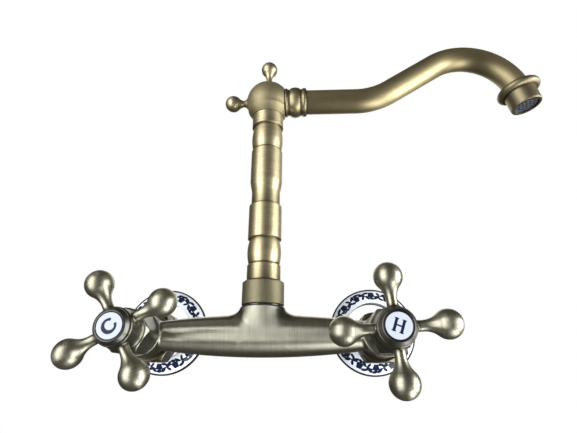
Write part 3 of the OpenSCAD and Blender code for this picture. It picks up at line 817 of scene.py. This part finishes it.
def spout_route():
    """Stations of the tube's centreline and the frame of its mouth."""
    route = [(TUBE_START, 0.0, 0.0)]
    route += ahead(route[-1], RISE_START - TUBE_START, 8)
    route += turned(route[-1], RISE_R, math.radians(RISE_ANGLE), 14)
    route += ahead(route[-1], RISE_LENGTH, 8)
    route += turned(route[-1], DROP_R, math.radians(OUTLET_LEAN - 90), 40)
    mouth = ahead(route[-1], OUTLET_LENGTH)[0]
    route += ahead(route[-1], OUTLET_LENGTH - TUBE_END, 1)
    place = HEAD @ Matrix.Translation((mouth[0], 0, mouth[1]))
    return route, place @ Matrix.Rotation(math.radians(-OUTLET_LEAN), 4, "Y")


def make_spout():
    """Tube, its collar at the head, its ferrule and the aerator."""
    route, outlet = spout_route()
    show("spout_tube", sweep(route, TUBE_R, TUBE_BORE_R).placed(HEAD), "spout")
    collar = turned_ring(
        [(BORE_R, 9), (6.5, 9, 0.2), (6.5, 13), (10.4, 13, 0.2), *bulge(13.2, 15.3, 10.6, 0.5, 8),
         (10.1, 15.6, 0.3), (10.1, 17.1, 0.3), *bulge(17.4, 24.8, 10.75, 0.95), (10.3, 25.1, 0.3),
         (10.3, 26.4, 0.3), *bulge(26.7, 29.8, 10.6, 0.5, 8), (10.2, 30, 0.2), (9.4, 30, 0.15),
         (9.3, 29.6), (9.3, 18), (BORE_R, 18)]
    )
    shade_grooves(collar, 12.9, 16.3, 25.8, 30.2)
    show("spout_collar", collar.placed(SPOUT), "collar")
    ring = turned_ring(
        [(8.2, 8.2), (9.6, 8.2), (9.6, 12), (13.4, 12.1, 0.3), *arc((13.0, 15), 2.8, -72, 72),
         (13.2, 18, 0.3), (10.3, 18, 0.5), (10.1, 19.4, 0.35), (9.5, 19.5, 0.1), (9.5, TUBE_END),
         (8.2, TUBE_END)]
    )
    show("outlet_ring", ring.placed(outlet), "outlet")
    shell = turned_ring(
        [(8.9, 0, 0.2), (10.9, 0, 0.4), (11.3, 1.2, 0.4), (11.5, 12, 0.2), (9.65, 12), (9.65, 8.1),
         (9.5, 8.1), (9.5, 2.0), (8.9, 1.9)]
    )
    x, y, z = shell.points.T
    # Painted shade on the inner lip and inside the aerator's mouth
    shell.marks["painted_shade"] = 0.97 * (1 - smooth(length(x, y), 10.2, 10.75)) * (1 - smooth(z, 3, 6))
    show("aerator_shell", shell.placed(outlet), "outlet")
    insert = modelled(aerator_field, (-10, -10, 0.8), (10, 10, 7.4), FINE * 0.55, (0, 0, 1.0))
    show("aerator_insert", insert.placed(outlet), "plastic")


def aerator_field(x, y, z):
    """Moulded insert: two rings of jets between grooves, with thin ribs across the grooves."""
    radius = length(x, y)
    body = keep(keep(radius - 9.45, 1.3 - z, 0.25), z - 6.8, 0.25)
    groove = np.minimum(abs(radius - 7.7) - 0.6, abs(radius - 4.6) - 0.5)
    groove = np.maximum(groove, z - 2.4)
    rib = radius * abs(np.sin(6 * np.arctan2(y, x))) / 6 - 0.28
    groove = np.maximum(groove, np.maximum(-rib, 1.75 - z))
    cavity = np.maximum(radius - 7.4, 4 - z)
    jets = length(x, y) - 0.8
    for ring in (1, 2):
        for k in range(6 * ring):
            a = k * TURN / (6 * ring)
            jets = np.minimum(jets, length(x - 3 * ring * math.cos(a), y - 3 * ring * math.sin(a)) - 0.8)
    return keep(body, -np.minimum(np.minimum(groove, cavity), jets), 0.15)


# ---------------------------------------------------------------- handles


# Outline of the hub, and of half an arm from the hub's middle outwards
HUB = [
    (2.1, 86.9), (2.1, 86.0), (3.9, 86.0), (3.9, 80.8), (8.6, 80.8), (8.6, 74.6), (12.3, 74.6), (12.3, 76.2),
    (11.4, 77.6), (10.8, 79.6), (10.7, 81), (10.7, 88.9), (10.1, 89.5), (8.2, 89.5), (8.2, CAP_SEAT),
    (5.4, CAP_SEAT), (5.4, 86.9),
]
ARM = [(0, 7)] + teardrop([(3.05, 7)], 3.0, ARM_BALL_R, ARM_REACH, 12.0)


def handle_field(x, y, z):
    """Hub with its skirt, and four arms that end in balls."""
    hub = outline_field(length(x, y), z, HUB)
    far, near = np.maximum(abs(x), abs(y)), np.minimum(abs(x), abs(y))
    arm = outline_field(length(near, z - ARM_PLANE), far, ARM)
    solid = merge(hub, np.maximum(arm, 9.2 - far), 1.0)
    recess = np.maximum(length(x, y) - 8.2, CAP_SEAT - z)
    back = np.maximum(length(x, y) - 8.6, z - 80.8)
    return np.maximum(solid, -np.minimum(recess, back))


def make_handle(side, place, rest):
    """Handle with its cap and index disc. Its arms are brushed round their own axes."""
    surface = modelled(handle_field, (-36, -36, 74), (36, 36, 93.5), FINE * 0.9, (0, 0, 1.0))
    x, y, z = surface.points.T
    far = np.maximum(abs(x), abs(y))
    on_x = (abs(x) >= abs(y))[:, None]
    arm_axis = np.where(on_x, [1.0, 0, 0], [0, 1.0, 0])
    on_arm = (far > 11.5)[:, None]
    surface.along = np.cross(np.where(on_arm, arm_axis, [0, 0, 1.0]), surface.normals)
    near = np.where(abs(x) >= abs(y), y, x)
    surface.across = np.where(on_arm, np.stack([far, near, z], -1), np.stack([z, x, y], -1))
    frame_here = facing_user(place.x, place.z) @ Matrix.Rotation(math.radians(rest), 4, "Z")
    # Painted shade on the hub between the arms and on the skirt at the back
    hub = 1 - smooth(length(x, y), 11.2, 13.4)
    surface.marks["painted_shade"] = 0.85 * np.maximum(hub, 1 - smooth(z, 76, 79))
    show(side + "_handle", surface.placed(frame_here), "handle")

    cap = turned_ring(
        [(5.4, CAP_SEAT), (8.2, CAP_SEAT), (8.2, 89.5), (9.6, 89.5, 0.1), (9.95, 89.8, 0.2),
         (9.95, 91.1, 0.9), (8.3, 93.1, 1.0), (7.4, 93.2, 0.2), (7.12, 92.9, 0.15), (7.12, 91), (5.4, 91)]
    )
    # Painted shade in the cap's hollow round the disc
    cap.marks["painted_shade"] = 0.85 * (1 - smooth(length(*cap.points[:, :2].T), 7.6, 8.9))
    show(side + "_index_cap", cap.placed(frame_here), "cap")
    make_index(side, frame_here, rest)


def letter_field(x, y, letter):
    """Distance to a plain letter about 7 mm tall, drawn with a broad pen and centred on the disc."""
    if letter == "C":
        angle = np.arctan2(y, x)
        mouth = math.radians(40)
        tip_x, tip_y = 3.3 * math.cos(mouth), 3.3 * math.sin(mouth)
        tips = length(x - tip_x, abs(y) - tip_y)
        pen = 0.7 + 0.4 * np.clip(-np.cos(angle), 0, 1)
        return np.where(abs(angle) > mouth, abs(length(x, y) - 3.3) - pen, tips - 0.9)
    posts = length(abs(x) - 2.0, np.maximum(abs(y) - 2.9, 0)) - 0.75
    feet = length(np.maximum(abs(abs(x) - 2.0) - 0.85, 0), abs(y) - 3.25) - 0.32
    bar = length(np.maximum(abs(x) - 2.0, 0), y) - 0.42
    return np.minimum(np.minimum(posts, feet), bar)


def make_index(side, place, rest):
    """Slightly domed disc with its letter, which leans as the handle does."""
    letter, lean = ("C", 55 - rest) if side == "cold" else ("H", -20 - rest)
    radii = [0, 0.25] + list(np.arange(0.5, 6.9, 0.16)) + [6.95]
    dome = [(r, 93.38 - 0.12 * (r / INDEX_R) ** 2) for r in reversed(radii)]
    edge = rounded([(0, 91.0), (7.06, 91.0), (7.06, 93.2, 0.15), (6.98, 93.27)])
    surface = lathe(edge + dome, sides=160)
    x, y = surface.points[:, 0], surface.points[:, 1]
    a = math.radians(lean)
    turned_x, turned_y = x * math.cos(a) + y * math.sin(a), y * math.cos(a) - x * math.sin(a)
    rim = PRINT_EDGE_R - length(x, y)
    surface.marks["ink"] = np.minimum(letter_field(turned_x, turned_y, letter), rim)
    show(side + "_index_disc", surface.placed(place), "china")


# ---------------------------------------------------------------- valve and wall side


def make_valve(side, place):
    """Faceted bonnet in front of the body and union nut behind it."""
    valve = facing_user(place.x, place.z)
    outline = rounded(
        [(8.65, 58.1), (11.25, 58.1), (11.25, 54), (12.0, 54, 0.3), (14, 56.4), (14, 70.9),
         (11.7, 73.5, 0.35), (9.4, 73.5, 0.3), (9.4, 70), (7.1, 70), (7.1, 66), (8.65, 66)],
        closed=True,
    )
    bonnet = lathe(dense(outline, 0.45), closed=True, limit=hexagon(24))
    show(side + "_bonnet", bonnet.placed(valve), "gunmetal")
    outline = rounded(
        [(13.27, 17.5), (15, 17.5, 0.3), (17.6, 19.2), (17.6, 32), (14.8, 34.2, 0.4), (9.5, 34.2, 0.2),
         (9.5, 32.6), (13.27, 32.6)],
        closed=True,
    )
    nut = lathe(dense(outline, 0.5), closed=True, limit=hexagon(30))
    # The union nut takes the shaded copy of the brass: painted shade
    show(side + "_union_nut", nut.placed(valve), "dark")


# Leaves of one half wave of the border: place along it, height, lean, half length, half width
LEAVES = [
    (-0.17, 1.5, 35, 1.9, 0.95), (-0.02, 2.3, -10, 1.7, 0.85), (0.12, 1.5, -40, 1.9, 0.95),
    (0.24, -1.2, 40, 1.8, 0.8), (0.15, -2.1, 5, 1.5, 0.75), (-0.22, -1.4, -50, 1.5, 0.75),
]


def flange_ink(run, rise, period):
    """Distance to an own border of a waving stem with leaves and blossoms."""
    phase = np.mod(run, period)
    wave = TURN / period
    slope = 0.9 * wave * np.cos(wave * run)
    ink = abs(rise - 0.9 * np.sin(wave * run)) / np.sqrt(1 + slope**2) - 0.3

    def leaf(at, height, lean, long, wide):
        dx = np.mod(phase - at * period + period / 2, period) - period / 2
        dy = rise - height
        a = math.radians(lean)
        u, v = dx * math.cos(a) + dy * math.sin(a), -dx * math.sin(a) + dy * math.cos(a)
        return (length(u / long, v / wide) - 1) * wide

    for flip, start in ((1, 0.25), (-1, 0.75)):
        for k in range(5):
            a = math.radians(90 * flip + 72 * k)
            petal = leaf(start + 1.2 * math.cos(a) / period, 1.2 * math.sin(a) - flip * 0.5, 0, 1.05, 1.05)
            ink = np.minimum(ink, petal)
        for at, height, lean, long, wide in LEAVES:
            ink = np.minimum(ink, leaf(start + at, flip * height, flip * lean, long, wide))
    return ink


def make_flange(side, place):
    """Wall flange: metal dish and the domed china ring on it, with its printed border."""
    inlet = facing_user(place.x, 0)
    inner, outer = FLANGE_BORE_R, FLANGE_R
    dish = turned_ring(
        [(inner, 1.6), (inner + 0.8, 1.6), (inner + 0.8, 7.4, 0.4), (outer - 1, 1.8, 0.2), (outer - 1, 1.6),
         (outer, 1.6, 0.3), (outer, 4.4, 0.35), (outer - 1, 4.65, 0.3), (outer - 1, 2.8), (inner + 0.8, 8.6),
         (inner + 0.8, 9.6, 0.1), (inner + 0.45, 9.6, 0.1), (inner + 0.45, 3.0), (inner, 3.0)],
        sides=192,
    )
    show(side + "_flange_dish", dish.placed(inlet), "rim")
    centre, radius = (17.9, -1.9), 12.9
    start = math.degrees(math.acos((29.1 - centre[0]) / radius))
    end = math.degrees(math.acos((inner + 0.35 - centre[0]) / radius))
    outline = [(20.25, 8.6), (29.2, 2.8), (29.2, 3.9), (29.18, 4.15)] + arc(centre, radius, start, end, 56)
    outline += [(inner + 0.12, 10.72), (inner + 0.02, 10.55), (inner + 0.02, 3.1), (inner + 0.4, 3.1)]
    outline += [(inner + 0.4, 9.7), (20.25, 9.7)]
    china = lathe(outline, closed=True, sides=640)
    x, y, z = china.points.T
    rise = length(x, y) - BAND_R
    ink = flange_ink(np.arctan2(y, x) * BAND_R, rise, TURN * BAND_R / BAND_REPEATS) - 0.1
    china.marks["ink"] = np.where((z > 4.0) & (abs(rise) < 3.4), ink, 1.0)
    show(side + "_flange_china", china.placed(inlet), "flange")


# ---------------------------------------------------------------- pieces kept from the CAD


KEPT = {
    "machined": ["spindle", "cartridge"],
    "ceramic": ["upper_disc", "lower_disc"],
    "rubber": ["seat_seal", "cartridge_o_ring", "spindle_o_rings", "union_washer", "flange_gasket"],
    "steel": ["handle_screw", "spindle_clip"],
    # The S-unions take the shaded copy of the brass: painted shade
    "dark": ["s_union"],
}
KEPT_COMMON = {
    "steel": ["split_ring", "aerator_screen"],
    "rubber": ["column_o_rings", "column_joint_seal", "head_seal", "spout_seal", "aerator_washer"],
}


def finish_kept(node, look):
    """Gives a CAD node its finish, with brushing turned about its own axis."""
    mesh = frame["nodes"][node].data
    low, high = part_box(node)
    brush_about(mesh, (low + high) / 2 / MM, 1)
    mesh.materials.clear()
    mesh.materials.append(LOOKS[look])


# ---------------------------------------------------------------- stage, lights and camera


def emitter(name, level):
    """Even glow of one grey level."""
    material = bpy.data.materials.new(name)
    material.use_nodes = True
    nodes = material.node_tree.nodes
    nodes.remove(nodes["Principled BSDF"])
    glow = nodes.new("ShaderNodeEmission")
    glow.inputs["Color"].default_value = (level, level, level, 1)
    glow.inputs["Strength"].default_value = 1.0
    output = nodes["Material Output"]
    material.node_tree.links.new(glow.outputs["Emission"], output.inputs["Surface"])
    return material


def make_backdrop():
    """White surroundings and a pale floor far below the mixer, which only the camera sees."""
    bpy.ops.mesh.primitive_uv_sphere_add(segments=48, ring_count=24, radius=DOME_R)
    dome = bpy.context.object
    dome.data.materials.append(emitter("backdrop_white", 1.0))
    bpy.ops.mesh.primitive_plane_add(size=FLOOR_SIDE, location=(0, 0, FLOOR_Z))
    floor = bpy.context.object
    floor.data.materials.append(emitter("floor_white", 0.985))
    for name, part in (("backdrop", dome), ("floor", floor)):
        part.name = name
        for ray in ("diffuse", "glossy", "transmission", "shadow", "volume_scatter"):
            setattr(part, "visible_" + ray, False)


def softbox(name, azimuth, elevation, size, power, colour):
    """Soft rectangular lamp that faces the mixer. Azimuth 0 is straight in front of it."""
    lamp = bpy.data.lights.new(name, "AREA")
    lamp.shape = "RECTANGLE"
    lamp.size, lamp.size_y = size
    lamp.energy = power
    lamp.color = colour
    light = bpy.data.objects.new(name, lamp)
    a, e = math.radians(azimuth), math.radians(elevation)
    direction = Vector((math.sin(a) * math.cos(e), -math.cos(a) * math.cos(e), math.sin(e)))
    spot = Matrix.Translation(LAMP_TARGET + direction * LAMP_DISTANCE)
    light.matrix_world = spot @ direction.to_track_quat("Z", "Y").to_matrix().to_4x4()
    bpy.context.scene.collection.objects.link(light)


def make_lights():
    """Studio: a tall softbox on the left, two on the right, and weak ones above and behind."""
    softbox("key_left", -43, 2, (0.95, 1.8), 30, (0.98, 0.99, 1.0))
    softbox("strip_right", 78, -6, (0.95, 1.15), 34, (0.97, 0.99, 1.0))
    softbox("low_right", 74, -54, (0.9, 0.45), 13, (0.98, 1.0, 1.0))
    softbox("top_left", -70, 62, (1.1, 0.18), 0.7, (1.0, 1.0, 1.0))
    softbox("back_fill", 180, 25, (1.4, 1.0), 8, (1.0, 0.97, 0.92))
    world = bpy.data.worlds.new("studio")
    world.use_nodes = True
    background = world.node_tree.nodes["Background"]
    background.inputs["Color"].default_value = (1.0, 0.94, 0.82, 1)
    background.inputs["Strength"].default_value = 0.10
    bpy.context.scene.world = world
    bpy.context.scene.view_settings.view_transform = "Standard"


def make_camera():
    """Camera below and to the right of the middle, looking up at the mixer."""
    pitch, yaw, roll = math.radians(22.2557), math.radians(-2.6311), math.radians(0.3144)
    forward = Vector((math.sin(yaw) * math.cos(pitch), math.cos(yaw) * math.cos(pitch), math.sin(pitch)))
    right = Vector((math.cos(yaw), -math.sin(yaw), 0))
    up = right.cross(forward)
    level_right = math.cos(roll) * right + math.sin(roll) * up
    level_up = -math.sin(roll) * right + math.cos(roll) * up
    camera = bpy.data.cameras.new("camera")
    camera.sensor_width = 36
    camera.lens = 25.28
    camera.clip_start, camera.clip_end = 0.01, 50
    holder = bpy.data.objects.new("camera", camera)
    place = Matrix((level_right, level_up, -forward)).transposed().to_4x4()
    place.translation = Vector((28.327, -306.344, -33.914)) * MM
    holder.matrix_world = place
    bpy.context.scene.collection.objects.link(holder)
    bpy.context.scene.camera = holder


# ---------------------------------------------------------------- everything


def corners(bounds):
    """Both corners of a box as plain numbers."""
    return [list(map(float, corner)) for corner in bounds]


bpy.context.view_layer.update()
make_body()
make_swivel()
make_column()
make_head()
make_spout()
for side, (place, rest) in SIDES.items():
    make_handle(side, place, rest)
    make_valve(side, place)
    make_flange(side, place)
for look, names in KEPT.items():
    for name in names:
        for side in SIDES:
            finish_kept(f"{side}_{name}", look)
for look, names in KEPT_COMMON.items():
    for name in names:
        finish_kept(name, look)
make_backdrop()
make_lights()
make_camera()
